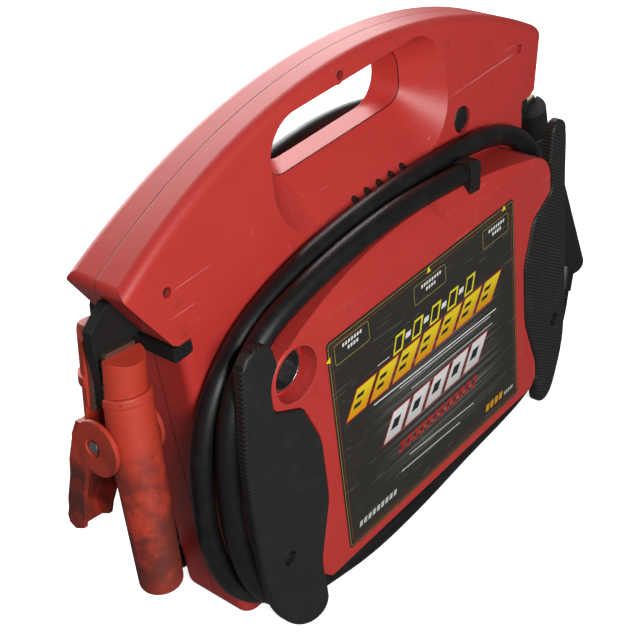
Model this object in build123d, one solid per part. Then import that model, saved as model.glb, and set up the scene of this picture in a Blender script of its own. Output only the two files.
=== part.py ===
"""Jump starter pack: two case halves round a sealed battery, four bumpers that hold the wound
booster cables, and two spring clamps parked on tongues under the ends of the arched handle.

Frame: +X to the right seen from the front, +Y to the back, +Z up, millimetres. The origin is on
the resting plane, midway between the sides and between the front and the back.
"""
import os
from math import atan2, degrees, pi, radians, sqrt, tan

from build123d import *

os.makedirs("parts", exist_ok=True)

# ---- driving dimensions -------------------------------------------------------------------
WALL = 3.0                       # case wall
FIT = 0.05                       # running clearance, radial
GAP = 0.3                        # clearance between curved neighbours

RIGHT_IN = 9.0                   # the right flank stands this much nearer the middle than the left
ARCH_X, ARCH_TOP, ARCH_R = -6.0, 277.8, 322.0        # highest point of the handle arch, and its radius
TIP_LEFT, TIP_RIGHT = -172.5, 163.0                  # ends of the arch
UNDER_LEFT, UNDER_RIGHT, UNDER_Z = -151.5, 151.0, 195.5  # foot of each slanted arch end
STEP = 3.5                       # height of the step under it
SIDE_LEFT, SIDE_RIGHT = -146.5, 142.0                # flanks of the case below the arch
FOOT_LEFT, FOOT_RIGHT = -139.5, 130.5                # and at its foot
CASE_Y = 23.0                    # half depth of the case plate
TAPER_Z, TOP_Y = 194.0, 15.5     # the plate thins from here to TOP_Y at the top

GRIP_X, GRIP_LOW, GRIP_HIGH = 53.0, 227.0, 262.0     # finger opening at the seam
MOUTH_X, MOUTH_LOW, MOUTH_HIGH = 73.5, 200.0, 269.0  # its flared mouth on the front
REAR_GRIP_X, REAR_LEVEL = 48.0, 14.0                 # behind the seam it runs level to this depth
REAR_MOUTH_X, REAR_LOW, REAR_HIGH = 64.0, 210.0, 267.0

POD_Y = 52.5                     # half depth over the pod faces
POD_TOP, POD_BOTTOM = 178.0, 18.0
ROOF_TOP, ROOF_X, ROOF_Y = 189.0, 108.0, 40.5        # crown of the pod roof behind its bevel
CORE_LEFT, CORE_RIGHT = -134.0, 126.0                # winding core behind the bumpers
CORE_TOP, CORE_R = 172.0, 42.0

BUMPER_Y, BUMPER_T = 47.5, 6.0   # back face of the bumper and its thickness
SCREW_LEFT, SCREW_RIGHT, SCREW_Z = -128.0, 123.5, 57.0   # bumper screws
CASE_SCREW_R = 1.5
LUG_LEFT, LUG_RIGHT = 140.5, 147.2                       # inner end of each parking bracket's cross lug

CABLE_D = 12.0                   # booster cable
INNER_Y, OUTER_Y = 41.2, 29.3    # depth of the two cable layers in the groove
FLOOR_Z = CABLE_D / 2 + 0.3      # height of a cable that lies under the pod

GLAND_X, GLAND_Z, GLAND_TILT, GLAND_L = 54.0, 192.2, 8.0, 9.0

SOCKET_X, SOCKET_Z = -104.5, 160.5
SOCKET_BORE, SOCKET_L = 10.6, 38.0                   # 12 V accessory socket
RECESS_R, RECESS_DEPTH = 15.0, 11.0

LABEL_W, LABEL_H, LABEL_BOTTOM, LABEL_T = 165.0, 139.0, 25.7, 0.5

BUTTON_X, BUTTON_Z, BUTTON_R, BUTTON_TRAVEL = 80.0, 207.0, 7.4, 2.0
LED_COUNT, LED_PITCH, LED_X, LED_R = 5, 10.1, 6.2, 2.6

BATTERY = (181.0, 77.0, 142.0)   # sealed 12 V, 22 Ah block

TONGUE_T = 6.0                   # parking tongue that the jaws grip
LEFT_CLAMP = (177.0, 150.0, 9.0)                     # clamp pivot from the middle, its height, outward lean
RIGHT_CLAMP = (175.0, 127.0, 9.0)
EAR_IN, EAR_T, EAR_R = 13.3, 2.2, 14.5
PIN_R = 3.0
JAW_FLAT, JAW_FACE = 7.0, 3.2    # jaw plate: back and gripping face, from the clamp's middle


# ---- helpers ------------------------------------------------------------------------------
def slab(face, y_back, y_front):
    """A face drawn in X and Z, made solid from y_back forward to y_front."""
    return extrude(Pos(0, y_back, 0) * (Plane.XZ * face), amount=y_back - y_front)


def block(x0, x1, y0, y1, z0, z1):
    return Pos((x0 + x1) / 2, (y0 + y1) / 2, (z0 + z1) / 2) * Box(x1 - x0, y1 - y0, z1 - z0)


def rod(x, z, radius, y_back, y_front):
    """A round bar along Y."""
    return slab(Pos(x, z) * Circle(radius), y_back, y_front)


def cross_rod(radius, half_length, y=0.0, z=0.0):
    """A round bar along X, centred on x = 0."""
    return Pos(0, y, z) * (Rot(0, 90, 0) * Cylinder(radius, 2 * half_length))


def side_face(points):
    """A closed outline of (y, z) points, as a face in the YZ plane."""
    return Plane.YZ * make_face(Polyline(*points, close=True))


def across(face, half_width):
    """A YZ face made solid over x = -half_width .. half_width."""
    return extrude(Pos(-half_width, 0, 0) * face, amount=2 * half_width)


def to_back(shape):
    return mirror(shape, about=Plane.XZ)


def to_side(shape):
    return mirror(shape, about=Plane.YZ)


def near(edges, test):
    return [edge for edge in edges if test(edge.center())]


def save(name, *shapes):
    """One STEP file for each node; several shapes become separate solids of one node."""
    solids = [solid for shape in shapes for solid in shape.solids()]
    whole = solids[0] if len(solids) == 1 else Compound(children=solids)
    whole.label = name
    export_step(whole, f"parts/{name}.step")
    return whole


# ---- case ---------------------------------------------------------------------------------
def arch_z(x):
    return ARCH_TOP - ARCH_R + sqrt(ARCH_R ** 2 - (x - ARCH_X) ** 2)


def case_outline():
    left, right = (TIP_LEFT, arch_z(TIP_LEFT)), (TIP_RIGHT, arch_z(TIP_RIGHT))
    arch = ThreePointArc(left, (ARCH_X, ARCH_TOP), right)
    flanks = Polyline(right, (UNDER_RIGHT, UNDER_Z), (SIDE_RIGHT, UNDER_Z - STEP), (FOOT_RIGHT, 0), (FOOT_LEFT, 0),
                      (SIDE_LEFT, UNDER_Z - STEP), (UNDER_LEFT, UNDER_Z), left)
    face = make_face(Curve() + [arch, flanks])
    return fillet(face.vertices().group_by(Axis.Y)[0], 12.0)


def case_plate(inset):
    """The flat half of the case in front of the seam, thinning towards the top."""
    outline = case_outline() if inset == 0 else offset(case_outline(), amount=-inset, kind=Kind.INTERSECTION)
    profile = side_face([(0, -1), (inset - CASE_Y, -1), (inset - CASE_Y, TAPER_Z),
                         (inset - TOP_Y, ARCH_TOP + 1), (0, ARCH_TOP + 1)])
    return slab(outline, 0, -CASE_Y) & across(profile, 5 - TIP_LEFT)


def soften(plate):
    """Rounded rims on the front of the case plate, and rounded ends on the arch."""
    front = [edge for edge in plate.edges() if edge.bounding_box().max.Y < -TOP_Y + 1]
    plate = fillet(near(front, lambda c: c.Z > 228 and abs(c.X) < 20), 6.0)
    front = [edge for edge in plate.edges() if edge.bounding_box().max.Y < -CASE_Y + 0.2]
    plate = fillet(near(front, lambda c: not FOOT_LEFT + 14 < c.X < FOOT_RIGHT - 14 and c.Z < UNDER_Z - 6), 6.0)
    outline = case_outline()
    across_x = outline.vertices().sort_by(Axis.X)
    return plate - slab(outline - fillet([across_x[0], across_x[-1]], 5.0), 1, -CASE_Y - 1)


def opening_ring(half_x, low, high, r_low, r_high, y):
    """A rounded opening, drawn at one depth."""
    arc = sqrt(0.5)
    a, b = half_x - r_high, half_x - r_low
    lines = [
        Line((-a, high), (a, high)),
        ThreePointArc((a, high), (a + r_high * arc, high - r_high * (1 - arc)), (half_x, high - r_high)),
        Line((half_x, high - r_high), (half_x, low + r_low)),
        ThreePointArc((half_x, low + r_low), (b + r_low * arc, low + r_low * (1 - arc)), (b, low)),
        Line((b, low), (-b, low)),
        ThreePointArc((-b, low), (-b - r_low * arc, low + r_low * (1 - arc)), (-half_x, low + r_low)),
        Line((-half_x, low + r_low), (-half_x, high - r_high)),
        ThreePointArc((-half_x, high - r_high), (-a - r_high * arc, high - r_high * (1 - arc)), (-a, high)),
    ]
    return Pos(0, y, 0) * (Plane.XZ * make_face(Curve() + lines))


def front_opening(grow):
    """The finger opening in front of the seam, widening to its mouth."""
    seam = opening_ring(GRIP_X + grow, GRIP_LOW - grow, GRIP_HIGH + grow, 10.0, 17.5, 0)
    mouth = opening_ring(MOUTH_X + grow, MOUTH_LOW - grow, MOUTH_HIGH + grow, 33.0, 22.0, -CASE_Y)
    return loft([seam, mouth])


def rear_opening(grow):
    """Its rear part, drawn in front of the seam: nearly level at first, then flared."""
    seam = opening_ring(GRIP_X + grow, GRIP_LOW - grow, GRIP_HIGH + grow, 10.0, 17.5, 0)
    throat = opening_ring(REAR_GRIP_X + grow, GRIP_LOW - grow, GRIP_HIGH + grow, 17.0, 17.4, -REAR_LEVEL)
    mouth = opening_ring(REAR_MOUTH_X + grow, REAR_LOW - grow, REAR_HIGH + grow, 26.0, 20.0, -CASE_Y)
    return loft([seam, throat]) + loft([throat, mouth])


def pod_face(inset=0.0):
    """The pod seen from the front: bosses at its top corners, waisted between the bumpers."""
    right = [((98, POD_BOTTOM), 2), ((104, POD_BOTTOM + 6), 3), ((104, 36), 24), ((92.8, 72), 40), ((92.8, 112), 30),
             ((103, 139), 10), ((122.5, 149), 6), ((122.5, POD_TOP), 19)]
    left = [((-x, z), radius) for (x, z), radius in reversed(right)]
    outline = FilletPolyline(*[point for point, _ in right + left], radius=[radius for _, radius in right + left],
                             close=True)
    face = make_face(outline)
    return face if inset == 0 else offset(face, amount=-inset, kind=Kind.INTERSECTION)


def pod_roof(inset=0.0):
    """The crowned roof behind the pod's bevelled top edge."""
    crown = make_face(Curve() + [ThreePointArc((-ROOF_X, POD_TOP - inset), (0, ROOF_TOP - inset),
                                               (ROOF_X, POD_TOP - inset)),
                                 Line((ROOF_X, POD_TOP - inset), (-ROOF_X, POD_TOP - inset))])
    bevel = side_face([(0, POD_TOP - 12), (inset - POD_Y, POD_TOP - 12), (inset - POD_Y, POD_TOP - inset),
                       (-ROOF_Y, ROOF_TOP + 0.5 - inset), (0, ROOF_TOP + 0.5 - inset)])
    below = slab(Pos(0, POD_TOP - inset - 6) * Rectangle(2 * ROOF_X - 12, 12), 0, inset - POD_Y)
    return (slab(crown, 0, inset - POD_Y) + below) & across(bevel, ROOF_X)


def core(inset=0.0):
    """The winding core that the bumpers are screwed to."""
    middle = ((CORE_LEFT + CORE_RIGHT) / 2, (CORE_TOP + POD_BOTTOM) / 2)
    face = Pos(*middle) * RectangleRounded(CORE_RIGHT - CORE_LEFT - 2 * inset, CORE_TOP - POD_BOTTOM - 2 * inset,
                                           CORE_R - inset)
    return slab(face, 0, inset - BUMPER_Y)


def pod():
    block_ = slab(pod_face(), 0, -POD_Y)
    rim = near(block_.edges(), lambda c: abs(c.Y + POD_Y) < 0.01 and c.Z < POD_TOP - 1)
    return fillet(rim, 1.2) + pod_roof()


def hole_posts():
    """Places of the screws that join the case halves: (x, z)."""
    return [(-147.0, 221.5), (140.5, 225.0), (-11.5, 270.5), (-124.0, 9.5), (115.0, 9.5)]


def case_face_y(z):
    """Distance of the case face from the seam at a height."""
    return CASE_Y if z < TAPER_Z else CASE_Y - (CASE_Y - TOP_Y) * (z - TAPER_Z) / (ARCH_TOP + 1 - TAPER_Z)


def half_shell(opening):
    """One case half in front of the seam, before its own holes are cut."""
    outer = soften(case_plate(0)) + pod() + core()
    cavity = case_plate(WALL) + slab(pod_face(WALL), 0, WALL - POD_Y) + pod_roof(WALL) + core(WALL)
    shell = outer - (cavity - opening(WALL)) - opening(0)
    for x, z in hole_posts():
        shell += rod(x, z, 5.0, 0, -case_face_y(z) + 1) & outer
    for x in (SCREW_LEFT, SCREW_RIGHT):
        shell += rod(x, SCREW_Z, 5.5, -BUMPER_Y + 14, -BUMPER_Y)
        shell -= rod(x, SCREW_Z, 2.0 + FIT, -BUMPER_Y + 15, -BUMPER_Y - 1)
    for piece in bracket_room(LUG_RIGHT):
        shell -= Pos(-RIGHT_IN, 0, 0) * piece
    for piece in bracket_room(LUG_LEFT):
        shell -= to_side(piece)
    return shell


def bracket_room(lug_x):
    """Slots at the seam that a parking bracket is clamped in, drawn for the left flank mirrored."""
    plate = slab(make_face(Polyline((153, 223), (182, 223), (182, 185), (120, 185), (120, 200), (146, 200),
                                    (153, 207), close=True)), TONGUE_T / 2, -TONGUE_T / 2)
    lug = block(lug_x - 0.3, 160, -CASE_Y - 1, CASE_Y + 1, 185.2, 193.3)
    return plate, lug


def build_case():
    gland = gland_neck(0.2)
    front = half_shell(front_opening) - gland
    rear = to_back(half_shell(rear_opening) - to_side(gland))
    for x, z in hole_posts():
        face = case_face_y(z)
        front -= rod(x, z, CASE_SCREW_R + FIT, 1, -face - 1)
        front -= rod(x, z, 2.6, -face + 4.8, -face - 1)
        rear -= rod(x, z, CASE_SCREW_R + FIT, face - 4, -1)
    ring = rod(SOCKET_X, SOCKET_Z, RECESS_R + 2, -POD_Y + RECESS_DEPTH + WALL, -POD_Y + 1) & pod()
    front = front + ring - rod(SOCKET_X, SOCKET_Z, RECESS_R, -POD_Y + RECESS_DEPTH, -POD_Y - 1)
    front -= rod(SOCKET_X, SOCKET_Z, SOCKET_BORE + 1.2 + FIT, 0, -POD_Y)
    front -= rod(BUTTON_X, BUTTON_Z, BUTTON_R + GAP, -10, -CASE_Y - 1)
    for place in led_places():
        front -= place * (Pos(0, 0, -4) * Cylinder(LED_R + FIT, 14))
    front.color = rear.color = Color(0.75, 0.1, 0.08)
    save("front_shell", front)
    save("rear_shell", rear)


def build_screws():
    def screw(x, z, y_head, y_tip, radius, head_r, head_t):
        drive = rod(x, z, 1.0, y_head + 0.9, y_head - 1)
        return rod(x, z, radius, y_tip, y_head) + rod(x, z, head_r, y_head + head_t, y_head) - drive
    case = [screw(x, z, -case_face_y(z) + 3.0, case_face_y(z) - 6, CASE_SCREW_R, 2.5, 1.8) for x, z in hole_posts()]
    front = [screw(x, SCREW_Z, -BUMPER_Y - 3.6, -BUMPER_Y + 12, 2.0, 3.6, 1.6) for x in (SCREW_LEFT, SCREW_RIGHT)]
    save("case_screws", *case)
    save("bumper_screws", *front, *[to_back(item) for item in front])


# ---- bumpers ------------------------------------------------------------------------------
def bumper(inner, crest, flank, screw_x):
    """A front bumper of the right side: inner edge of its horn, crest, outer edge to the foot, and screw."""
    outer = [
        ThreePointArc(inner[-1], crest, flank[0]),
        Spline(*flank, tangents=[(0.15, -1), (-1, 0)]),
        ThreePointArc(flank[-1], (106, 3), (103.5, 10)),
        Polyline((103.5, 10), (103.5, 26), (80, 60), (80, 125), *inner),
    ]
    blank = slab(make_face(Curve() + outer), -BUMPER_Y, -BUMPER_Y - BUMPER_T)
    blank -= slab(pod_face(-0.4), 0, -POD_Y - 5)
    rim = near(blank.edges(), lambda c: abs(c.Y + BUMPER_Y + BUMPER_T) < 0.01)
    blank = fillet(rim, 2.0)
    blank -= rod(screw_x, SCREW_Z, 4.3, -BUMPER_Y - 2.0, -BUMPER_Y - BUMPER_T - 1)
    return blank - rod(screw_x, SCREW_Z, 2.0 + FIT, 0, -BUMPER_Y - BUMPER_T - 1)


def build_bumpers():
    left = to_side(bumper([(112, 150), (118, 184)], (129, 191),
                          [(139.5, 184), (142, 165), (146, 135), (147.5, 98), (147, 60), (143, 33), (134, 13),
                           (122, 2.2), (113, 0)], -SCREW_LEFT))
    right = bumper([(118, 152), (123.5, 185)], (131, 191.5),
                   [(138, 183), (138, 165), (137.6, 135), (137.6, 98), (137, 60), (134, 33), (126, 13),
                    (118.5, 2.2), (112, 0)], SCREW_RIGHT)
    save("bumper_front_right", right)
    save("bumper_front_left", left)
    save("bumper_rear_right", to_back(right))
    save("bumper_rear_left", to_back(left))


# ---- panel fittings -----------------------------------------------------------------------
def led_places():
    """Frames of the charge lamps, on the slope under the finger opening, pointing out of it."""
    rise, run = GRIP_LOW - MOUTH_LOW, CASE_Y
    tilt = degrees(atan2(run, rise))
    depth = 20.6
    height = GRIP_LOW - depth * rise / run
    first = LED_X - LED_PITCH * (LED_COUNT - 1) / 2
    return [Pos(first + LED_PITCH * n, -depth, height) * Rot(90 - tilt, 0, 0) for n in range(LED_COUNT)]


def build_lamps():
    lamps = [place * (Pos(0, 0, -3.2) * Cylinder(LED_R, 4.2) + Pos(0, 0, -5.8) * Cylinder(LED_R + 0.5, 1.0))
             for place in led_places()]
    middle = led_places()[LED_COUNT // 2]
    board = middle * (Pos(0, 1.5, -7.1) * Box(54, 8, 1.4))
    save("charge_lamps", *lamps)
    save("lamp_board", board)


def build_button():
    face = -case_face_y(BUTTON_Z)
    cap = rod(BUTTON_X, BUTTON_Z, BUTTON_R, face + 7.0, face + 0.6)
    rim = near(cap.edges(), lambda c: c.Y < face + 1)
    cap = chamfer(rim, 1.6) + rod(BUTTON_X, BUTTON_Z, BUTTON_R + 1.4, face + 7.0, face + 4.9)
    save("test_button", cap)
    switch = block(BUTTON_X - 5, BUTTON_X + 5, face + 11.5, face + 17, BUTTON_Z - 5, BUTTON_Z + 5)
    switch += rod(BUTTON_X, BUTTON_Z, 1.8, face + 11.5, face + 7.0 + BUTTON_TRAVEL + 0.2)
    save("test_switch", switch)


def build_socket():
    mouth = -POD_Y + RECESS_DEPTH
    outer = SOCKET_BORE + 1.2
    at = (SOCKET_X, SOCKET_Z)
    barrel = rod(*at, outer, mouth + SOCKET_L + 2, mouth - 3.0) - rod(*at, SOCKET_BORE, mouth + SOCKET_L, mouth - 4)
    lip = rod(*at, outer + 1.4, mouth, mouth - 1.2) - rod(*at, outer - 0.2, mouth + 1, mouth - 2)
    barrel += lip
    barrel -= rod(*at, 4.0, mouth + SOCKET_L + 3, mouth + SOCKET_L - 1)
    insulator = rod(*at, 4.0 - FIT, mouth + SOCKET_L + 8, mouth + SOCKET_L + 0.2)
    insulator -= rod(*at, 2.0 + FIT, mouth + SOCKET_L + 9, mouth + SOCKET_L - 2)
    contact = rod(*at, 2.0, mouth + SOCKET_L + 12, mouth + SOCKET_L + 0.1)
    save("socket_barrel", barrel)
    save("socket_insulator", insulator)
    save("socket_contact", contact)


def build_label():
    plate = slab(Pos(0, LABEL_BOTTOM + LABEL_H / 2) * RectangleRounded(LABEL_W, LABEL_H, 2.5),
                 -POD_Y, -POD_Y - LABEL_T)
    save("front_label", plate)


# ---- battery and wiring -------------------------------------------------------------------
def build_battery():
    width, depth, height = BATTERY
    base = POD_BOTTOM + WALL + 0.2
    case = block(-width / 2, width / 2, -depth / 2, depth / 2, base, base + height - 12)
    case = chamfer(case.edges().filter_by(Axis.Z), 2.0)
    lid = block(-width / 2 + 1, width / 2 - 1, -depth / 2 + 1, depth / 2 - 1, base + height - 12, base + height)
    lid = chamfer(lid.edges().group_by(Axis.Z)[-1], 1.5)
    top = base + height
    post_y = depth / 2 - 14
    posts = [Pos(side * 72, -side * -post_y, top + 2.5) * Box(15, 15, 5) for side in (-1, 1)]
    bolts, straps = [], []
    for side, post in zip((-1, 1), posts):
        y = side * post_y
        bolts.append(Pos(side * 72, y, top + 9.4) * Cylinder(5.2, 3.2) + Pos(side * 72, y, top + 6) * Cylinder(
            3.0, 10))
        strap = block(side * 72 - 8, side * 72 + 8, y - 7, y + 7, top + 5, top + 7.8)
        strap += block(side * 72 - 8, side * 72 - side * 34, y - 7, y + 7, top + 5, top + 7.8) if side < 0 else block(
            side * 72 - 34, side * 72 + 8, y - 7, y + 7, top + 5, top + 7.8)
        straps.append(strap - Pos(side * 72, y, top + 6) * Cylinder(3.0 + FIT, 12))
    posts = [post - Pos(post.center().X, post.center().Y, top + 6) * Cylinder(3.0 + FIT, 10.2) for post in posts]
    save("battery_case", case)
    save("battery_lid", lid)
    save("battery_posts", *posts)
    save("terminal_bolts", *bolts)
    save("positive_strap", straps[0])
    save("negative_strap", straps[1])
    fuse = block(-37, -5, -post_y - 6, -post_y + 6, top + 8, top + 15)
    save("main_fuse", fillet(fuse.edges().filter_by(Axis.X), 1.5))
    board = block(104, 105.6, -18, 18, 50, 140)
    parts = block(105.6, 114, -12, 2, 60, 84) + block(105.6, 112, -14, 10, 98, 106) + block(
        105.6, 118, -6, 12, 116, 132)
    save("charge_board", board)
    save("charge_board_parts", parts)


# ---- cables -------------------------------------------------------------------------------
def gland_frame():
    """Middle of the front gland, its X along the slope of the roof."""
    return Pos(GLAND_X, -INNER_Y - 0.6, GLAND_Z) * Rot(0, GLAND_TILT, 0)


def gland_neck(clearance):
    reach = 4.5 + clearance
    return block(GLAND_X - reach, GLAND_X + reach, -41.8 - reach, -41.8 + reach, 165, 188)


def build_glands():
    head = gland_frame() * block(-GLAND_L / 2, GLAND_L / 2, -6.6, 6.0, -10, 7.0)
    top = [edge for edge in head.edges().sort_by(Axis.Z)[-4:] if abs(edge.length - GLAND_L) < 0.1]
    head = fillet(top, 3.5)
    gland = head - (pod() + core()) + (gland_neck(0) & block(GLAND_X - 16, GLAND_X + 14, -60, -30, 172, 190))
    save("cable_gland_front", gland)
    save("cable_gland_rear", to_back(to_side(gland)))


def cable(name, points):
    """A round cable along straight runs joined by arcs as large as the runs allow."""
    steps = [Vector(*b) - Vector(*a) for a, b in zip(points, points[1:])]
    radii = [0.45 * min(a.length, b.length) / tan(radians(a.get_angle(b) / 2)) for a, b in zip(steps, steps[1:])]
    path = FilletPolyline(*points, radius=radii)
    start = Plane(origin=points[0], z_dir=steps[0])
    tube = sweep(start * Circle(CABLE_D / 2), path=path)
    section = pi * CABLE_D ** 2 / 4
    print(name, "length", round(path.length, 1), "radii", [round(r) for r in radii],
          "volume ratio", round(tube.volume / (section * path.length), 4))
    return save(name, tube)


def first_run(length):
    """The cable leaves the front gland's mouth square to its face."""
    mouth = (gland_frame() * Pos(-GLAND_L / 2, 0, 0)).position
    return [tuple(mouth), tuple((gland_frame() * Pos(-GLAND_L / 2 - length, 0, 0)).position)]


FRONT_ROUTE = first_run(38) + [
    (-30, -42.0, 199.5), (-76, -41.8, 195), (-114, -41.2, 186), (-141, -41.2, 160), (-150, -41.2, 122),
    (-152, -41.2, 82), (-145, -41.2, 43), (-124, -41.2, 16), (-94, -41.3, 8.8), (-60, -45.6, 7.0),
    (-14, -45.0, 6.5), (34, -42.0, 6.6), (74, -41.2, 7.2), (104, -41.2, 11), (127, -41.0, 26), (139, -39.0, 58),
    (144.5, -35.0, 98), (143, -31.0, 138), (133, -29.5, 172), (102, -29.4, 191.5),
    (58, -29.4, 198.5), (8, -29.4, 201.0), (-40, -29.4, 200.0), (-84, -29.4, 194.0), (-121, -29.4, 180),
    (-146, -29.4, 154), (-157.5, -29.4, 116), (-159, -29.4, 76), (-149, -29.4, 37), (-121, -29.4, 10.5),
    (-84, -29.4, 6.8), (-34, -30.6, 6.4), (22, -30.9, 6.4), (70, -30.0, 6.6), (104, -29.6, 8.0), (128, -31.5, 9.5),
    (155.5, -34.0, 19), (171.8, -28.0, 42.4),
]
REAR_ROUTE = [(-x, -y, z) for x, y, z in first_run(38)] + [
    (30, 42.0, 199.5), (76, 41.8, 195), (113, 41.2, 187), (137, 41.2, 161), (142, 41.2, 122),
    (144, 41.2, 82), (137, 41.2, 43), (117, 41.2, 17), (90, 41.3, 8.8), (54, 42.8, 6.8),
    (10, 43.4, 6.4), (-36, 42.4, 6.4), (-76, 41.2, 7.2), (-106, 41.2, 11), (-133, 41.0, 25), (-147, 39.0, 57),
    (-152.5, 35.0, 98), (-150, 31.0, 138), (-133, 29.8, 172), (-100, 30.5, 194),
    (-58, 33.0, 207), (-10, 35.0, 214), (38, 35.0, 214), (82, 32.5, 204), (114, 30.0, 187),
    (138, 29.4, 157), (150, 29.4, 116), (151.5, 29.4, 76), (142, 29.4, 37), (116, 29.4, 10.5),
    (82, 29.4, 6.8), (34, 30.4, 6.4), (-22, 30.6, 6.4), (-72, 29.9, 6.6), (-110, 29.5, 8.4), (-142, 29.6, 18.5),
    (-163, 20.0, 36), (-173.5, 1.5, 57),
]


# ---- clamps -------------------------------------------------------------------------------
def clamp_place(pivot_x, pivot_z, lean):
    """Frame of a clamp on the right: origin at the pivot, jaws up, the fixed half to the front."""
    return Pos(pivot_x, 0, pivot_z) * Rot(0, -lean, 0)


def half_round(y_flat, radius, z0, z1, front):
    disc = Pos(0, y_flat, z0) * extrude(Circle(radius), amount=z1 - z0)
    keep = block(-radius, radius, y_flat - radius, y_flat, z0, z1) if front else block(
        -radius, radius, y_flat, y_flat + radius, z0, z1)
    return disc & keep


def grip_barrel():
    """The long fixed handle: a tapered barrel with a collar above and a round end below."""
    barrel = Pos(0, 0, -26) * Cone(11.0, 12.8, 108)
    barrel = fillet(barrel.edges().sort_by(Axis.Z)[0], 6.0)
    collar = Pos(0, 0, 25.8) * Cylinder(13.2, 5)
    return Pos(0, -12.1, 0) * Rot(-9.4, 0, 0) * (barrel + fillet(collar.edges().filter_by(GeomType.CIRCLE), 1.2))


def handle_half():
    handle = grip_barrel() - block(-20, 20, -JAW_FLAT, 20, 9.5, 40)
    handle += half_round(-JAW_FLAT, 11.5, 18, 49, True)
    for side in (-1, 1):
        lug = cross_rod(8.0, 3.5) - block(-20, 20, 3, 20, -20, 20)
        handle += Pos(side * 9.4, 0, 0) * lug
    handle -= block(-6.1, 6.1, -8, 9, -8.2, 8.2)
    handle -= cross_rod(PIN_R + FIT, 20)
    slant = side_face([(-30, 43), (-JAW_FLAT + 1, 48), (-JAW_FLAT + 1, 60), (-30, 60)])
    return handle - across(slant, 15)


def lever_arm(inset):
    """Side view of the squeezed lever, from the web behind the pivot down to its end."""
    skin = [(15, 0), (21.6, -25), (29.5, -45), (32.5, -57)]
    if inset:
        skin = [(16, -4)] + skin[1:3] + [(32.5, -57 + inset)]
        return side_face([(-20, -14), (9.6, -12)] + [(y - inset, z) for y, z in skin]
                         + [(28, -62 + inset), (20, -72), (-20, -72)])
    return side_face([(3, -9), (8.9, 2), (9.2, 8), (14.5, 8)] + skin
                     + [(31.5, -61), (27, -63), (20.5, -60), (18, -50), (14, -34), (8, -20)])


def lever_half():
    outside = EAR_IN + EAR_T
    right = [(12.4, 9), (outside, 2), (outside, -14), (9.5, -52), (9.5, -66)]
    plan = make_face(Polyline(*right, *[(-x, z) for x, z in reversed(right)], close=True))
    right = [(10.3, 9), (EAR_IN, 0), (EAR_IN, -14), (7.1, -51), (7.1, -75)]
    inner = make_face(Polyline(*right, *[(-x, z) for x, z in reversed(right)], close=True))
    arm = across(lever_arm(0), outside) & slab(plan, 40, -20)
    arm -= across(lever_arm(2.5), EAR_IN) & slab(inner, 41, -21)
    arm -= block(-EAR_IN, EAR_IN, -20, 9.3, -14, 17)
    jaw = half_round(JAW_FLAT, 10.3, 2, 57, False) - block(-11, 11, 0, 9.3, 0, 17)
    for side in (-1, 1):
        jaw -= Pos(side * 11, 12, 57) * Rot(0, 45, 0) * Box(8, 30, 8)
    arm += jaw + half_round(JAW_FLAT, 11.6, 28, 33, False)
    for side in (-1, 1):
        ear = Pos(side * (EAR_IN + EAR_T / 2), 0, 0) * cross_rod(EAR_R, EAR_T / 2, y=-2.0)
        dish = Pos(side * (outside - 0.5), 0, 0) * cross_rod(5.0, 0.55)
        arm = arm + ear - dish
    return arm - cross_rod(PIN_R + FIT, 20) - block(-20, 20, -20, JAW_FLAT, 15.2, 60)


def jaw_plate(z0, z1):
    """A toothed copper lining with its back on JAW_FLAT."""
    plate = block(-9, 9, JAW_FACE, JAW_FLAT, z0, z1)
    for n in range(int((z1 - z0) / 4)):
        plate -= Pos(0, JAW_FACE, z0 + 3 + 4 * n) * (Rot(45, 0, 0) * Box(30, 1.0, 1.0))
    return plate


def clamp_spring():
    rings = [Pos(-3.6 + 1.8 * n, 0, 0) * (Rot(0, 90, 0) * Torus(5.0, 0.95)) for n in range(5)]
    coil = rings[0]
    for ring in rings[1:]:
        coil += ring
    return coil


def boot(route, length, handle):
    """Tapered strain relief from the end of a cable into the handle."""
    tip, before = Vector(*route[-1]), Vector(*route[-2])
    sleeve = Plane(origin=tip, z_dir=tip - before) * (Pos(0, 0, length / 2) * Cone(7.2, 8.4, length))
    return (sleeve - handle).solids().sort_by(SortBy.VOLUME)[-1]


def build_clamps():
    pieces = {
        "handle": handle_half(),
        "lever": lever_half(),
        "pin": cross_rod(PIN_R, EAR_IN + EAR_T - 0.3),
        "spring": clamp_spring(),
        "jaw_fixed": to_back(jaw_plate(10, 50)),
        "jaw_moving": jaw_plate(16, 55),
    }
    for name, piece in pieces.items():
        save(f"clamp_{name}_right", clamp_place(*RIGHT_CLAMP) * piece)
        save(f"clamp_{name}_left", to_side(clamp_place(*LEFT_CLAMP) * piece))
    handle = pieces["handle"]
    save("cable_boot_right", boot(FRONT_ROUTE, 30, clamp_place(*RIGHT_CLAMP) * handle))
    save("cable_boot_left", boot(REAR_ROUTE, 36, to_side(clamp_place(*LEFT_CLAMP) * handle)))


def build_brackets():
    outline = [(154, 222), (168.7, 221), (180.5, 211.5), (181.2, 200), (181, 182), (182, 170), (180, 166.5),
               (176.5, 166.5), (171.5, 178), (163, 197), (153, 197), (147, 190), (122, 190), (122, 199), (147, 199),
               (154, 206)]
    tongue = slab(make_face(Polyline(*outline, close=True)), TONGUE_T / 2 - 0.1, -TONGUE_T / 2 + 0.1)
    def bracket(lug_x):
        lug = block(lug_x, 152, -CASE_Y, CASE_Y, 185.5, 193)
        inner_end = lug.edges().filter_by(Axis.Y).group_by(Axis.X)[0]
        return tongue + fillet(inner_end, 3.0)
    save("parking_bracket_right", Pos(-RIGHT_IN, 0, 0) * bracket(LUG_RIGHT))
    save("parking_bracket_left", to_side(bracket(LUG_LEFT)))


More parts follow.
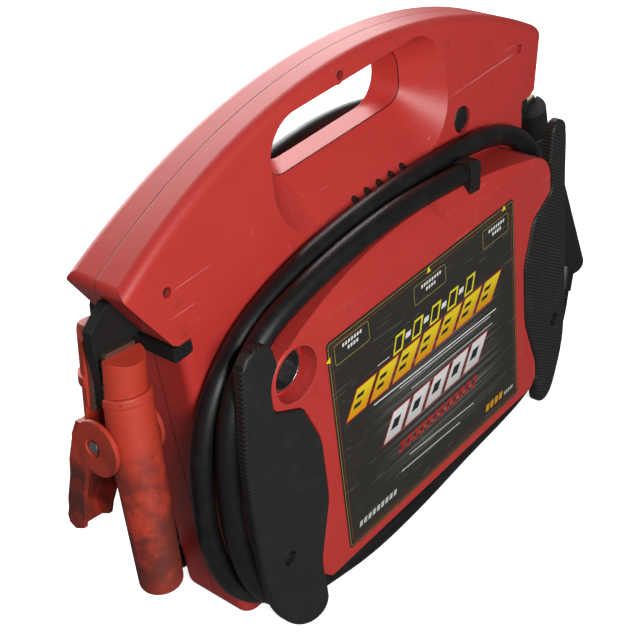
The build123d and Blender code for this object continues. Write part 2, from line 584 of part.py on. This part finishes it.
build_case()
build_screws()
build_bumpers()
build_lamps()
build_button()
build_socket()
build_label()
build_battery()
build_glands()
cable("negative_cable", FRONT_ROUTE)
cable("positive_cable", REAR_ROUTE)
build_clamps()
build_brackets()
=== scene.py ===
"""Jump starter pack: camera, light, cables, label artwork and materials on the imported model."""
import math

import bpy
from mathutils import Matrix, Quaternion, Vector


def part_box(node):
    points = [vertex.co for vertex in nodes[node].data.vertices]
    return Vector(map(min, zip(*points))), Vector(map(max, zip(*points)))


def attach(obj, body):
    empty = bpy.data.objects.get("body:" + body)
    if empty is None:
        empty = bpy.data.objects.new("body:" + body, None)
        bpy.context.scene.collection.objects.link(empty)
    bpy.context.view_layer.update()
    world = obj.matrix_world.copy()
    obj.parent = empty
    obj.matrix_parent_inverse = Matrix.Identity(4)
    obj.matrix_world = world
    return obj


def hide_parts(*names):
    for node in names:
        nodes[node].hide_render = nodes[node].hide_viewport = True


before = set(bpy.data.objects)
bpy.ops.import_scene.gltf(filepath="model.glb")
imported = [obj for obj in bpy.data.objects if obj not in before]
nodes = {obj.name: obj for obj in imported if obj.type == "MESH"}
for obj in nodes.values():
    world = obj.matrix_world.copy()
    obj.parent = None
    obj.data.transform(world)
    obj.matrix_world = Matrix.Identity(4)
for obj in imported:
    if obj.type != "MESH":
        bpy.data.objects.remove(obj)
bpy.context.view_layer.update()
scene = bpy.context.scene

MM_PER_M = 1000
WORLD_STRENGTH = 0.13
FLOOR_HALF, FLOOR_GLOW = 6, 0.80           # metres; light that the white floor gives off
MIX_A, MIX_B, MIX_RESULT = 6, 7, 2         # colour sockets of the Mix node
SEAM_HALF, SEAM_FADE = 0.15, 0.45          # mm from the seam where its shadow is full, and where it ends
RIB_PITCH, RIB_SLANT = 1.9, math.radians(35)
LAYER_MM = 0.03                            # step between printed layers
CABLE_RADIUS = 0.006                       # metres


# ---- camera and light ----------------------------------------------------------------------
def make_camera():
    data = bpy.data.cameras.new("camera")
    data.sensor_width = 36.0
    data.lens = 74.97
    data.shift_x, data.shift_y = -0.0004, 0.0054
    data.clip_start, data.clip_end = 0.05, 50
    camera = bpy.data.objects.new("camera", data)
    camera.location = (-0.4630, -0.4206, 0.5458)
    camera.rotation_mode = "QUATERNION"
    camera.rotation_quaternion = Quaternion((0.793552, 0.436984, -0.153802, -0.394546))
    scene.collection.objects.link(camera)
    scene.camera = camera


def area_light(name, place, aim, size, watts):
    data = bpy.data.lights.new(name, "AREA")
    data.shape = "DISK"
    data.size, data.energy = size, watts
    light = bpy.data.objects.new(name, data)
    light.location = place
    light.rotation_mode = "QUATERNION"
    light.rotation_quaternion = (Vector(aim) - Vector(place)).to_track_quat("-Z", "Y")
    scene.collection.objects.link(light)


make_camera()
area_light("key", place=(-0.45, -0.95, 0.60), aim=(-0.05, 0, 0.12), size=0.55, watts=10.5)
area_light("back", place=(0.7, 1.5, 0.9), aim=(0, 0, 0.2), size=2.2, watts=62)
world = bpy.data.worlds.new("world")
world.use_nodes = True
world.node_tree.nodes["Background"].inputs["Color"].default_value = (1, 1, 1, 1)
world.node_tree.nodes["Background"].inputs["Strength"].default_value = WORLD_STRENGTH
scene.world = world
scene.view_settings.view_transform = "Standard"


# ---- node helpers --------------------------------------------------------------------------
class Material:
    """A Principled material with a few shorthands; P, X, Y and Z are object coordinates in mm."""

    def __init__(self, name, colour, roughness, metallic=0.0, specular=0.5, coat=0.0):
        self.made = bpy.data.materials.new(name)
        self.made.use_nodes = True
        self.tree = self.made.node_tree
        self.shader = self.tree.nodes["Principled BSDF"]
        self.shader.inputs["Base Color"].default_value = (*colour, 1)
        self.shader.inputs["Roughness"].default_value = roughness
        self.shader.inputs["Metallic"].default_value = metallic
        self.shader.inputs["Specular IOR Level"].default_value = specular
        self.shader.inputs["Coat Weight"].default_value = coat
        self.made.diffuse_color = (*colour, 1)
        place = self.tree.nodes.new("ShaderNodeTexCoord").outputs["Object"]
        scale = self.tree.nodes.new("ShaderNodeVectorMath")
        scale.operation = "SCALE"
        self.tree.links.new(place, scale.inputs[0])
        scale.inputs["Scale"].default_value = MM_PER_M
        self.P = scale.outputs[0]
        split = self.tree.nodes.new("ShaderNodeSeparateXYZ")
        self.tree.links.new(self.P, split.inputs[0])
        self.X, self.Y, self.Z = split.outputs

    def put(self, socket, value):
        if isinstance(value, bpy.types.NodeSocket):
            self.tree.links.new(value, socket)
        else:
            socket.default_value = value

    def math(self, operation, *values, clamp=False):
        node = self.tree.nodes.new("ShaderNodeMath")
        node.operation, node.use_clamp = operation, clamp
        for socket, value in zip(node.inputs, values):
            self.put(socket, value)
        return node.outputs[0]

    def add(self, a, b):
        return self.math("ADD", a, b)

    def mul(self, a, b):
        return self.math("MULTIPLY", a, b)

    def step(self, value, low, high):
        """0 below low, 1 above high (either order), smooth between."""
        node = self.tree.nodes.new("ShaderNodeMapRange")
        node.interpolation_type = "SMOOTHSTEP"
        self.put(node.inputs["Value"], value)
        first, last, a, b = (low, high, 0, 1) if low < high else (high, low, 1, 0)
        for name, number in zip(("From Min", "From Max", "To Min", "To Max"), (first, last, a, b)):
            node.inputs[name].default_value = number
        return node.outputs["Result"]

    def stretch(self, x, y, z):
        node = self.tree.nodes.new("ShaderNodeVectorMath")
        node.operation = "MULTIPLY"
        self.put(node.inputs[0], self.P)
        node.inputs[1].default_value = (x, y, z)
        return node.outputs[0]

    def noise(self, scale, detail=2.0, rough=0.5, vector=None, distortion=0.0):
        """Noise whose scale is features per mm."""
        node = self.tree.nodes.new("ShaderNodeTexNoise")
        self.put(node.inputs["Vector"], vector or self.P)
        node.inputs["Scale"].default_value = scale
        node.inputs["Detail"].default_value = detail
        node.inputs["Roughness"].default_value = rough
        node.inputs["Distortion"].default_value = distortion
        return node.outputs["Fac"]

    def mix(self, factor, a, b):
        node = self.tree.nodes.new("ShaderNodeMix")
        node.data_type = "RGBA"
        self.put(node.inputs["Factor"], factor)
        for index, value in ((MIX_A, a), (MIX_B, b)):
            self.put(node.inputs[index], value if isinstance(value, bpy.types.NodeSocket) else (*value, 1))
        return node.outputs[MIX_RESULT]

    def edges(self, width=0.8):
        """About 1 along outer and inner edges, 0 on open faces; width in mm."""
        bevel = self.tree.nodes.new("ShaderNodeBevel")
        bevel.samples = 4
        bevel.inputs["Radius"].default_value = width / MM_PER_M
        plain = self.tree.nodes.new("ShaderNodeNewGeometry")
        dot = self.tree.nodes.new("ShaderNodeVectorMath")
        dot.operation = "DOT_PRODUCT"
        self.put(dot.inputs[0], bevel.outputs[0])
        self.put(dot.inputs[1], plain.outputs["Normal"])
        return self.step(dot.outputs["Value"], 0.98, 0.80)

    def colour(self, value):
        self.put(self.shader.inputs["Base Color"], value)

    def roughness(self, value):
        self.put(self.shader.inputs["Roughness"], value)

    def bump(self, height, depth_mm, strength=1.0):
        bevel = self.tree.nodes.new("ShaderNodeBevel")
        bevel.samples = 4
        bevel.inputs["Radius"].default_value = 0.0005
        node = self.tree.nodes.new("ShaderNodeBump")
        node.inputs["Strength"].default_value = strength
        node.inputs["Distance"].default_value = depth_mm / MM_PER_M
        self.put(node.inputs["Height"], height)
        self.put(node.inputs["Normal"], bevel.outputs[0])
        self.put(self.shader.inputs["Normal"], node.outputs[0])

    def on(self, *names):
        for name in names:
            mesh = nodes[name].data
            mesh.materials.clear()
            mesh.materials.append(self.made)
        return self


# ---- materials -----------------------------------------------------------------------------
def red_plastic():
    """Glossy red moulding: faint clouding, hairline scratches, dull grime and rubbed edges."""
    m = Material("red_plastic", (0.58, 0.042, 0.034), 0.36)
    fine = m.noise(0.9, 3.0)
    colour = m.mix(m.noise(0.022, 3.0), (0.54, 0.034, 0.028), (0.62, 0.050, 0.040))
    rubbed = m.mul(m.step(m.noise(0.05, 3.0, 0.6), 0.60, 0.74), m.step(fine, 0.46, 0.62))
    colour = m.mix(m.mul(rubbed, 0.16), colour, (0.70, 0.24, 0.20))
    long_lines = m.step(m.noise(1.0, 1.0, vector=m.stretch(0.012, 1.1, 0.8), distortion=0.15), 0.735, 0.752)
    short_lines = m.step(m.noise(1.0, 1.0, vector=m.stretch(0.8, 1.1, 0.03), distortion=0.2), 0.752, 0.77)
    where = m.step(m.noise(0.03, 2.0), 0.47, 0.60)
    marks = m.mul(m.math("MAXIMUM", long_lines, m.mul(short_lines, 0.6)), where)
    colour = m.mix(m.mul(marks, 0.45), colour, (0.78, 0.42, 0.38))
    grime = m.mul(m.step(m.noise(0.06, 4.0, 0.65), 0.60, 0.74), 0.35)
    colour = m.mix(grime, colour, (0.20, 0.022, 0.02))
    wear = m.mul(m.edges(1.0), m.step(m.noise(0.12, 3.0), 0.42, 0.62))
    colour = m.mix(m.mul(wear, 0.4), colour, (0.72, 0.24, 0.20))
    seam = m.step(m.math("ABSOLUTE", m.Y), SEAM_FADE, SEAM_HALF)
    colour = m.mix(m.mul(seam, 0.85), colour, (0.07, 0.006, 0.006))
    m.colour(colour)
    m.roughness(m.add(0.36, m.add(m.mul(fine, 0.12), m.mul(marks, 0.2))))
    m.bump(m.add(m.mul(m.noise(2.4, 2.0), 0.5), m.mul(seam, -6.0)), 0.05, 0.6)
    return m


def ribbed_plastic():
    """Black plastic with fine slanted ribs that rise towards the middle of the pack."""
    m = Material("ribbed_plastic", (0.02, 0.02, 0.02), 0.42, specular=0.35)
    across = m.add(m.mul(m.math("ABSOLUTE", m.X), math.sin(RIB_SLANT)), m.mul(m.Z, math.cos(RIB_SLANT)))
    wave = m.math("SINE", m.mul(across, 2 * math.pi / RIB_PITCH))
    height = m.math("MULTIPLY_ADD", wave, 0.5, 0.5)
    crests = m.mix(m.noise(0.04, 3.0), (0.024, 0.024, 0.023), (0.036, 0.035, 0.032))
    shade = m.mix(height, (0.009, 0.009, 0.0095), crests)
    shade = m.mix(m.mul(m.edges(0.8), 0.35), shade, (0.05, 0.05, 0.05))
    dust = m.mul(m.step(m.noise(0.08, 4.0, 0.6), 0.5, 0.75), 0.10)
    m.colour(m.mix(dust, shade, (0.09, 0.08, 0.07)))
    m.roughness(m.add(0.38, m.mul(m.noise(0.3, 3.0), 0.16)))
    m.bump(height, 0.12, 0.6)
    return m


def grained_plastic(name, colour, light, roughness, smudges=False, specular=0.5):
    """Matt moulding between two tones, pale on its edges; smudges darken the lower half of a clamp."""
    m = Material(name, colour, roughness, specular=specular)
    fine = m.noise(1.6, 3.0)
    tone = m.mix(m.noise(0.05, 3.0), colour, light)
    if smudges:
        low = m.mul(m.step(m.Z, 168, 128), m.step(m.Z, 62, 88))
        cloud = m.step(m.noise(0.045, 5.0, 0.6), 0.36, 0.58)
        tone = m.mix(m.mul(m.mul(low, cloud), 0.80), tone, (0.060, 0.020, 0.015))
        specks = m.step(m.noise(0.35, 3.0, 0.6), 0.66, 0.72)
        tone = m.mix(m.mul(specks, 0.55), tone, (0.05, 0.018, 0.015))
    wear = m.mul(m.edges(0.9), m.step(m.noise(0.2, 3.0), 0.35, 0.6))
    pale = tuple(min(1.0, c * 1.5 + 0.03) for c in light)
    m.colour(m.mix(m.mul(wear, 0.4), tone, pale))
    m.roughness(m.add(roughness - 0.06, m.mul(fine, 0.14)))
    m.bump(fine, 0.08, 0.6)
    return m


def rubber():
    """Smooth black cable jacket with a little dust."""
    m = Material("cable_rubber", (0.007, 0.007, 0.008), 0.40, specular=0.5)
    dust = m.mul(m.step(m.noise(0.05, 4.0, 0.6), 0.5, 0.75), 0.25)
    m.colour(m.mix(dust, (0.006, 0.006, 0.007), (0.040, 0.040, 0.040)))
    m.roughness(m.add(0.32, m.mul(m.noise(0.12, 4.0), 0.2)))
    m.bump(m.noise(0.5, 3.0), 0.10, 0.5)
    return m


def metal(name, colour, roughness):
    """Worn metal with patches of brown tarnish."""
    m = Material(name, colour, roughness, metallic=1.0)
    spots = m.step(m.noise(0.5, 4.0, 0.65), 0.55, 0.75)
    m.colour(m.mix(m.mul(spots, 0.55), colour, (0.10, 0.07, 0.05)))
    m.roughness(m.add(roughness, m.mul(m.noise(1.2, 3.0), 0.22)))
    m.bump(m.noise(2.0, 2.0), 0.03, 0.4)
    return m


def label_print():
    """Dark label with a fan of fading streaks behind the artwork."""
    m = Material("label_print", (0.030, 0.027, 0.020), 0.34, specular=0.4)
    tone = m.mix(m.noise(0.02, 2.0), (0.026, 0.023, 0.018), (0.036, 0.032, 0.025))
    rise = m.add(m.Z, m.mul(m.X, 0.02))
    lines = m.noise(1.0, 1.0, vector=m.stretch(0.004, 0.0, 0.42))
    thin = m.noise(1.0, 2.0, vector=m.stretch(0.01, 0.0, 1.3))
    streak = m.mul(m.step(lines, 0.40, 0.66), m.add(0.45, m.mul(m.step(thin, 0.45, 0.6), 0.55)))
    tall = m.mul(m.step(rise, 38, 62), m.step(rise, 132, 112))
    wide = m.mul(m.step(m.X, -62, 5), m.step(m.X, 74, 32))
    glow = m.mul(streak, m.mul(tall, wide))
    tone = m.mix(m.mul(glow, 0.55), tone, (0.42, 0.42, 0.42))
    rub = m.mul(m.step(m.noise(0.9, 1.0, vector=m.stretch(0.05, 0, 0.8), distortion=0.4), 0.66, 0.70), 0.25)
    m.colour(m.mix(rub, tone, (0.25, 0.24, 0.22)))
    m.roughness(m.add(0.24, m.mul(m.noise(0.1, 3.0), 0.14)))
    m.bump(m.noise(0.05, 2.0), 0.25, 0.3)
    return m


def ink(name, low, high, span=(110, 127)):
    """Printed colour that changes from low to high between two heights."""
    m = Material(name, high, 0.32)
    m.colour(m.mix(m.step(m.Z, *span), low, high))
    m.roughness(m.add(0.26, m.mul(m.noise(0.3, 2.0), 0.12)))
    return m


red_plastic().on("front_shell", "rear_shell")
ribbed_plastic().on("bumper_front_left", "bumper_front_right", "bumper_rear_left", "bumper_rear_right")
grained_plastic("black_plastic", (0.009, 0.009, 0.010), (0.018, 0.018, 0.019), 0.5, specular=0.35).on(
    "parking_bracket_left", "parking_bracket_right", "cable_gland_front", "cable_gland_rear", "main_fuse",
    "charge_board_parts", "test_switch", "test_button", "battery_case", "battery_lid")
grained_plastic("clamp_orange", (0.52, 0.040, 0.018), (0.62, 0.062, 0.032), 0.5, smudges=True).on(
    "clamp_handle_left", "clamp_lever_left")
grained_plastic("clamp_black", (0.009, 0.009, 0.010), (0.018, 0.018, 0.019), 0.46, specular=0.35).on(
    "clamp_handle_right", "clamp_lever_right")
jacket = rubber().on("cable_boot_left", "cable_boot_right", "negative_cable", "positive_cable")
metal("jaw_metal", (0.30, 0.24, 0.19), 0.42).on(
    *[f"clamp_jaw_{part}_{side}" for part in ("fixed", "moving") for side in ("left", "right")])
metal("plain_steel", (0.42, 0.42, 0.43), 0.35).on(
    *[f"clamp_{part}_{side}" for part in ("pin", "spring") for side in ("left", "right")])
metal("dark_steel", (0.10, 0.10, 0.11), 0.40).on("case_screws", "bumper_screws")
metal("chrome", (0.72, 0.72, 0.74), 0.12).on("socket_barrel")
metal("brass", (0.62, 0.45, 0.18), 0.30).on(
    "socket_contact", "terminal_bolts", "positive_strap", "negative_strap")
metal("cast_lead", (0.36, 0.36, 0.38), 0.50).on("battery_posts")
grained_plastic("phenolic", (0.42, 0.34, 0.22), (0.52, 0.44, 0.30), 0.5).on("socket_insulator")
grained_plastic("circuit_board", (0.02, 0.16, 0.05), (0.03, 0.22, 0.08), 0.35).on(
    "charge_board", "lamp_board")
lens = Material("lamp_lens", (0.03, 0.008, 0.008), 0.12, coat=0.5).on("charge_lamps")
lens.colour(lens.mix(lens.noise(0.6, 2.0), (0.012, 0.006, 0.006), (0.05, 0.010, 0.008)))
label_print().on("front_label")
inks = [
    ink("ink_yellow", (0.78, 0.36, 0.0), (0.90, 0.80, 0.02)),
    ink("ink_white", (0.62, 0.62, 0.62), (0.86, 0.86, 0.86), (72, 92)),
    ink("ink_red", (0.50, 0.02, 0.015), (0.70, 0.03, 0.02), (58, 92)),
    ink("ink_gold", (0.36, 0.30, 0.07), (0.42, 0.34, 0.08), (20, 160)),
    ink("ink_rust", (0.30, 0.06, 0.02), (0.34, 0.07, 0.025), (20, 160)),
    ink("ink_black", (0.02, 0.02, 0.02), (0.02, 0.02, 0.02)),
]
YELLOW, WHITE, RED, GOLD, RUST, BLACK = range(6)


# ---- label artwork -------------------------------------------------------------------------
class Artwork:
    """Flat printed shapes on the label's face, in mm; each layer stands LAYER_MM proud of the last."""

    def __init__(self):
        self.points, self.faces, self.kinds = [], [], []
        self.face_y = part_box("front_label")[0][1] * MM_PER_M

    def shape(self, outline, ink_index, layer=1):
        first = len(self.points)
        depth = (self.face_y - LAYER_MM * layer) / MM_PER_M
        self.points += [(x / MM_PER_M, depth, z / MM_PER_M) for x, z in outline]
        self.faces.append(list(range(first, first + len(outline))))
        self.kinds.append(ink_index)

    def line(self, a, b, width, ink_index, layer=1):
        (ax, az), (bx, bz) = a, b
        length = math.hypot(bx - ax, bz - az)
        nx, nz = -(bz - az) / length * width / 2, (bx - ax) / length * width / 2
        outline = [(ax + nx, az + nz), (ax - nx, az - nz), (bx - nx, bz - nz), (bx + nx, bz + nz)]
        self.shape(outline, ink_index, layer)

    def frame(self, x0, x1, z0, z1, radius, width, ink_index):
        """A rounded border line."""
        corners = [(x1 - radius, z1 - radius, 0), (x0 + radius, z1 - radius, 90),
                   (x0 + radius, z0 + radius, 180), (x1 - radius, z0 + radius, 270)]
        ring = []
        for cx, cz, start in corners:
            for n in range(7):
                angle = math.radians(start + 15 * n)
                ring.append((cx + radius * math.cos(angle), cz + radius * math.sin(angle)))
        for a, b in zip(ring, ring[1:] + ring[:1]):
            self.line(a, b, width, ink_index)

    def slanted(self, x, z, width, height, lean, ink_index, layer=1, grow=0.0):
        """A block that leans to the right by lean over its height; grow widens it all round."""
        low, high = z - grow, z + height + grow
        shift = lean * grow / height
        outline = [(x - grow - shift, low), (x + width + grow - shift, low),
                   (x + width + grow + lean + shift, high), (x - grow + lean + shift, high)]
        self.shape(outline, ink_index, layer)

    def build(self):
        mesh = bpy.data.meshes.new("label_artwork")
        mesh.from_pydata(self.points, [], self.faces)
        for made in inks:
            mesh.materials.append(made.made)
        mesh.polygons.foreach_set("material_index", self.kinds)
        piece = bpy.data.objects.new("label_artwork", mesh)
        scene.collection.objects.link(piece)
        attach(piece, "pack")


def draw_label():
    """Borders, caption boxes and rows of plain blocks in place of lettering."""
    art = Artwork()
    art.frame(-81.6, 81.6, 26.9, 163.4, 2.0, 0.35, GOLD)
    art.frame(-79.6, 79.6, 29.3, 161.2, 2.0, 0.30, RUST)
    # caption boxes
    boxes = (-77.2, -50.0, 148.2, 160.2), (-11.8, 16.2, 146.2, 157.6), (51.6, 76.6, 147.0, 158.6)
    for x0, x1, z0, z1 in boxes:
        art.frame(x0, x1, z0, z1, 1.6, 0.35, GOLD)
        for row, (start, end) in enumerate(((0.22, 0.80), (0.36, 0.66))):
            z = z1 - 3.9 - 3.4 * row
            x = x0 + (x1 - x0) * start
            while x < x0 + (x1 - x0) * end:
                art.slanted(x, z, 1.5, 2.0, 0.4, WHITE)
                x += 2.3
    # pointers to the fittings round the label
    for x, z, turn in ((-82.0, 154.4, 180), (1.8, 161.4, 90), (72.6, 163.0, 90)):
        tip = [(2.2, 0), (-1.2, 1.9), (-1.2, -1.9)]
        c, s = math.cos(math.radians(turn)), math.sin(math.radians(turn))
        art.shape([(x + a * c - b * s, z + a * s + b * c) for a, b in tip], YELLOW, 2)
    # small title row, large title row, second row and the fine row under it
    for n in range(5):
        x = -33 + 16.2 * n
        art.slanted(x, 126.5, 8.2, 11.0, 3.6, YELLOW)
        art.slanted(x + 1.5, 127.9, 5.6, 8.2, 2.7, BLACK, 2)
        if n < 4:
            art.slanted(x + 11.2, 131.0, 4.4, 3.2, 0.9, WHITE)
    for n in range(7):
        x = -74 + 19.3 * n
        art.slanted(x, 110, 15.6, 14.6, 10.5, RED, 1, grow=0.7)
        art.slanted(x, 110, 15.6, 14.6, 10.5, YELLOW, 2)
        art.slanted(x + 5.6, 114.2, 6.0, 2.2, 1.6, BLACK, 3)
        art.slanted(x + 8.6, 118.9, 6.0, 2.2, 1.6, BLACK, 3)
    for n in range(5):
        x = -47 + 18.6 * n
        art.slanted(x, 75.5, 14.6, 15.4, 10.5, RED, 1, grow=0.7)
        art.slanted(x, 75.5, 14.6, 15.4, 10.5, WHITE, 2)
        art.slanted(x + 6.6, 80.6, 6.4, 5.6, 3.8, BLACK, 3)
    for n in range(12):
        art.slanted(-35.5 + 6.3 * n, 60.6, 4.4, 6.6, 2.8, RED)
        art.slanted(-34.0 + 6.3 * n, 62.6, 2.0, 2.4, 1.0, BLACK, 2)
    # streaks, then the two groups at the foot
    for (ax, az), (bx, bz), width in (((-52, 106.4), (62, 101.2), 0.9), ((-30, 103.2), (56, 99.4), 0.5),
                                      ((-26, 53.6), (36, 48.6), 0.8), ((-34, 46.8), (22, 43.6), 0.9),
                                      ((-46, 128.6), (-36, 128.2), 0.5), ((-20, 96.4), (58, 93.4), 0.5)):
        art.line((ax, az), (bx, bz), width, WHITE)
    for n in range(9):
        art.slanted(-73.5 + 3.8 * n, 35.0 - 0.04 * n, 2.6, 3.6, 0.9, WHITE)
    for n in range(4):
        art.slanted(48 + 4.6 * n, 33.2, 3.2, 4.8, 1.2, YELLOW)
    for n in range(5):
        art.slanted(67.5 + 2.0 * n, 33.4, 1.3, 2.4, 0.6, WHITE)
    art.build()


draw_label()


# ---- cables --------------------------------------------------------------------------------
# Control points in metres: each cable leaves its gland, winds nearly twice round its own half of the pod,
# with the turn nearer the bumpers first, and ends at the boot of its clamp.
FRONT_ROUTE = [
    (0.04954, -0.0418, 0.19283), (0.01191, -0.0418, 0.19811),
    (-0.030, -0.042, 0.1995), (-0.076, -0.0418, 0.195), (-0.114, -0.0412, 0.186), (-0.141, -0.0412, 0.160),
    (-0.150, -0.0412, 0.122), (-0.152, -0.0412, 0.082), (-0.145, -0.0412, 0.043), (-0.124, -0.0412, 0.016),
    (-0.094, -0.0413, 0.0088), (-0.060, -0.0456, 0.007), (-0.014, -0.045, 0.0065), (0.034, -0.042, 0.0066),
    (0.074, -0.0412, 0.0072), (0.104, -0.0412, 0.011), (0.127, -0.041, 0.026), (0.139, -0.039, 0.058),
    (0.1445, -0.035, 0.098), (0.143, -0.031, 0.138), (0.133, -0.0295, 0.172), (0.102, -0.0294, 0.1915),
    (0.058, -0.0294, 0.1985), (0.008, -0.0294, 0.201), (-0.040, -0.0294, 0.200), (-0.084, -0.0294, 0.194),
    (-0.121, -0.0294, 0.180), (-0.146, -0.0294, 0.154), (-0.1575, -0.0294, 0.116), (-0.159, -0.0294, 0.076),
    (-0.149, -0.0294, 0.037), (-0.121, -0.0294, 0.0105), (-0.084, -0.0294, 0.0068), (-0.034, -0.0306, 0.0064),
    (0.022, -0.0309, 0.0064), (0.070, -0.030, 0.0066), (0.104, -0.0296, 0.008), (0.128, -0.0315, 0.0095),
    (0.1555, -0.034, 0.019), (0.1718, -0.028, 0.0424),
]
REAR_ROUTE = [
    (-0.04954, 0.0418, 0.19283), (-0.01191, 0.0418, 0.19811),
    (0.030, 0.042, 0.1995), (0.076, 0.0418, 0.195), (0.113, 0.0412, 0.187), (0.137, 0.0412, 0.161),
    (0.142, 0.0412, 0.122), (0.144, 0.0412, 0.082), (0.137, 0.0412, 0.043), (0.117, 0.0412, 0.017),
    (0.090, 0.0413, 0.0088), (0.054, 0.0428, 0.0068), (0.010, 0.0434, 0.0064), (-0.036, 0.0424, 0.0064),
    (-0.076, 0.0412, 0.0072), (-0.106, 0.0412, 0.011), (-0.133, 0.041, 0.025), (-0.147, 0.039, 0.057),
    (-0.1525, 0.035, 0.098), (-0.150, 0.031, 0.138), (-0.133, 0.0298, 0.172), (-0.100, 0.0305, 0.194),
    (-0.058, 0.033, 0.207), (-0.010, 0.035, 0.214), (0.038, 0.035, 0.214), (0.082, 0.0325, 0.204),
    (0.114, 0.030, 0.187), (0.138, 0.0294, 0.157), (0.150, 0.0294, 0.116), (0.1515, 0.0294, 0.076),
    (0.142, 0.0294, 0.037), (0.116, 0.0294, 0.0105), (0.082, 0.0294, 0.0068), (0.034, 0.0304, 0.0064),
    (-0.022, 0.0306, 0.0064), (-0.072, 0.0299, 0.0066), (-0.110, 0.0295, 0.0084), (-0.142, 0.0296, 0.0185),
    (-0.163, 0.020, 0.036), (-0.1735, 0.0015, 0.057),
]


def cable(name, node, route):
    """A round curve along a route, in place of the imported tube."""
    data = bpy.data.curves.new(name, "CURVE")
    data.dimensions = "3D"
    spline = data.splines.new("NURBS")
    spline.points.add(len(route) - 1)
    for point, place in zip(spline.points, route):
        point.co = (*place, 1)
    spline.order_u = 3
    spline.use_endpoint_u = True
    spline.resolution_u = 6
    data.bevel_depth = CABLE_RADIUS
    data.bevel_resolution = 6
    data.materials.append(jacket.made)
    piece = bpy.data.objects.new(name, data)
    scene.collection.objects.link(piece)
    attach(piece, "pack")
    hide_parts(node)


cable("negative_lead", "negative_cable", FRONT_ROUTE)
cable("positive_lead", "positive_cable", REAR_ROUTE)


# ---- floor and finish ----------------------------------------------------------------------
def make_floor():
    """A white floor that lights nothing but itself."""
    mesh = bpy.data.meshes.new("floor")
    corners = [(x * FLOOR_HALF, y * FLOOR_HALF, 0) for x, y in ((-1, -1), (1, -1), (1, 1), (-1, 1))]
    mesh.from_pydata(corners, [], [(0, 1, 2, 3)])
    floor = bpy.data.objects.new("floor", mesh)
    scene.collection.objects.link(floor)
    m = Material("floor", (0.80, 0.80, 0.80), 0.8, specular=0.0)
    m.shader.inputs["Emission Color"].default_value = (1, 1, 1, 1)
    m.shader.inputs["Emission Strength"].default_value = FLOOR_GLOW
    mesh.materials.append(m.made)
    floor.visible_diffuse = floor.visible_glossy = False


make_floor()
